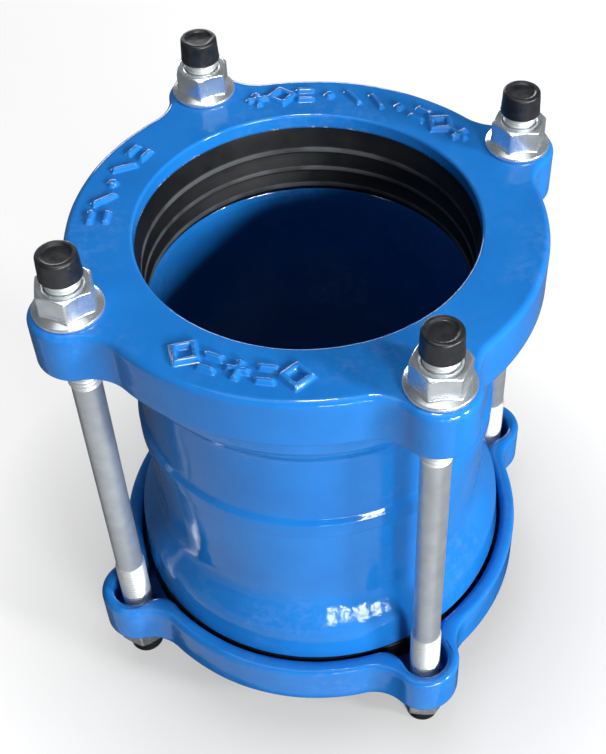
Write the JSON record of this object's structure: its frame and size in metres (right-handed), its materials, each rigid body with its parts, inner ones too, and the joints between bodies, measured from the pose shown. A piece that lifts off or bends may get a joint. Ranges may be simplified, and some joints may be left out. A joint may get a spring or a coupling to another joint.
{
  "type": "pipe repair clamp",
  "caption": "Straight wide-range pipe coupling clamp: coated iron sleeve between two bolted end rings that squeeze rubber wedge gaskets onto the pipes.",
  "frame": {"origin": "on the pipe axis, in the plane the coupling stands on, which is the ends of the lower thread caps", "axes": "+Z along the pipe axis, up; the four studs lie at 45, 135, 225 and 315 degrees about it, studs 1 and 2 towards -Y"},
  "size_m": [0.17, 0.17, 0.2301],
  "materials": {
    "blue_coated_iron": "glossy fusion-bonded blue epoxy coating on cast ductile iron",
    "zinc_plated_steel": "bright zinc plating, slightly mottled",
    "rubber": "satin moulded EPDM rubber",
    "black_plastic": "semi-matte soft polyethylene"
  },
  "bodies": {
    "sleeve_and_studs": {"centre_sleeve": "blue_coated_iron", "upper_gasket": "rubber", "lower_gasket": "rubber", "stud_1": "zinc_plated_steel", "stud_2": "zinc_plated_steel", "stud_3": "zinc_plated_steel", "stud_4": "zinc_plated_steel"},
    "upper_ring": {"upper_end_ring": "blue_coated_iron"},
    "lower_ring": {"lower_end_ring": "blue_coated_iron"},
    "upper_nut_1": {"upper_nut_1": "zinc_plated_steel"},
    "upper_nut_2": {"upper_nut_2": "zinc_plated_steel"},
    "upper_nut_3": {"upper_nut_3": "zinc_plated_steel"},
    "upper_nut_4": {"upper_nut_4": "zinc_plated_steel"},
    "upper_cap_1": {"upper_cap_1": "black_plastic"},
    "upper_cap_2": {"upper_cap_2": "black_plastic"},
    "upper_cap_3": {"upper_cap_3": "black_plastic"},
    "upper_cap_4": {"upper_cap_4": "black_plastic"},
    "lower_nut_1": {"lower_nut_1": "zinc_plated_steel"},
    "lower_nut_2": {"lower_nut_2": "zinc_plated_steel"},
    "lower_nut_3": {"lower_nut_3": "zinc_plated_steel"},
    "lower_nut_4": {"lower_nut_4": "zinc_plated_steel"},
    "lower_cap_1": {"lower_cap_1": "black_plastic"},
    "lower_cap_2": {"lower_cap_2": "black_plastic"},
    "lower_cap_3": {"lower_cap_3": "black_plastic"},
    "lower_cap_4": {"lower_cap_4": "black_plastic"}
  },
  "joints": [
    {"name": "upper_ring_slide", "type": "slide", "parent": "sleeve_and_studs", "child": "upper_ring", "axis": [0, 0, 1], "range_m": [-0.00525, 0.00175], "deforming": ["upper_gasket"]},
    {"name": "lower_ring_slide", "type": "slide", "parent": "sleeve_and_studs", "child": "lower_ring", "axis": [0, 0, 1], "range_m": [0, 0.00525], "deforming": ["lower_gasket"]},
    {"name": "upper_nut_1_spin", "type": "hinge", "parent": "upper_ring", "child": "upper_nut_1", "pos_m": [-0.06223, -0.06223, 0.2058], "axis": [0, 0, 1], "range_deg": [-1080.1, 360.1]},
    {"name": "upper_nut_2_spin", "type": "hinge", "parent": "upper_ring", "child": "upper_nut_2", "pos_m": [0.06223, -0.06223, 0.2058], "axis": [0, 0, 1], "range_deg": [-1080.1, 360.1]},
    {"name": "upper_nut_3_spin", "type": "hinge", "parent": "upper_ring", "child": "upper_nut_3", "pos_m": [0.06223, 0.06223, 0.2058], "axis": [0, 0, 1], "range_deg": [-1080.1, 360.1]},
    {"name": "upper_nut_4_spin", "type": "hinge", "parent": "upper_ring", "child": "upper_nut_4", "pos_m": [-0.06223, 0.06223, 0.2058], "axis": [0, 0, 1], "range_deg": [-1080.1, 360.1]},
    {"name": "upper_cap_1_pull", "type": "slide", "parent": "sleeve_and_studs", "child": "upper_cap_1", "axis": [0, 0, 1], "range_m": [0, 0.02]},
    {"name": "upper_cap_2_pull", "type": "slide", "parent": "sleeve_and_studs", "child": "upper_cap_2", "axis": [0, 0, 1], "range_m": [0, 0.02]},
    {"name": "upper_cap_3_pull", "type": "slide", "parent": "sleeve_and_studs", "child": "upper_cap_3", "axis": [0, 0, 1], "range_m": [0, 0.02]},
    {"name": "upper_cap_4_pull", "type": "slide", "parent": "sleeve_and_studs", "child": "upper_cap_4", "axis": [0, 0, 1], "range_m": [0, 0.02]},
    {"name": "lower_nut_1_spin", "type": "hinge", "parent": "lower_ring", "child": "lower_nut_1", "pos_m": [-0.06223, -0.06223, 0.0208], "axis": [0, 0, 1], "range_deg": [-0.1, 1080.1]},
    {"name": "lower_nut_2_spin", "type": "hinge", "parent": "lower_ring", "child": "lower_nut_2", "pos_m": [0.06223, -0.06223, 0.0208], "axis": [0, 0, 1], "range_deg": [-0.1, 1080.1]},
    {"name": "lower_nut_3_spin", "type": "hinge", "parent": "lower_ring", "child": "lower_nut_3", "pos_m": [0.06223, 0.06223, 0.0208], "axis": [0, 0, 1], "range_deg": [-0.1, 1080.1]},
    {"name": "lower_nut_4_spin", "type": "hinge", "parent": "lower_ring", "child": "lower_nut_4", "pos_m": [-0.06223, 0.06223, 0.0208], "axis": [0, 0, 1], "range_deg": [-0.1, 1080.1]},
    {"name": "lower_cap_1_pull", "type": "slide", "parent": "sleeve_and_studs", "child": "lower_cap_1", "axis": [0, 0, -1], "range_m": [0, 0.02]},
    {"name": "lower_cap_2_pull", "type": "slide", "parent": "sleeve_and_studs", "child": "lower_cap_2", "axis": [0, 0, -1], "range_m": [0, 0.02]},
    {"name": "lower_cap_3_pull", "type": "slide", "parent": "sleeve_and_studs", "child": "lower_cap_3", "axis": [0, 0, -1], "range_m": [0, 0.02]},
    {"name": "lower_cap_4_pull", "type": "slide", "parent": "sleeve_and_studs", "child": "lower_cap_4", "axis": [0, 0, -1], "range_m": [0, 0.02]}
  ],
  "couplings": [
    {"joint": "upper_nut_1_spin", "follows": "upper_ring_slide", "rad_per_m": 3590.4},
    {"joint": "upper_nut_2_spin", "follows": "upper_ring_slide", "rad_per_m": 3590.4},
    {"joint": "upper_nut_3_spin", "follows": "upper_ring_slide", "rad_per_m": 3590.4},
    {"joint": "upper_nut_4_spin", "follows": "upper_ring_slide", "rad_per_m": 3590.4},
    {"joint": "lower_nut_1_spin", "follows": "lower_ring_slide", "rad_per_m": 3590.4},
    {"joint": "lower_nut_2_spin", "follows": "lower_ring_slide", "rad_per_m": 3590.4},
    {"joint": "lower_nut_3_spin", "follows": "lower_ring_slide", "rad_per_m": 3590.4},
    {"joint": "lower_nut_4_spin", "follows": "lower_ring_slide", "rad_per_m": 3590.4}
  ]
}
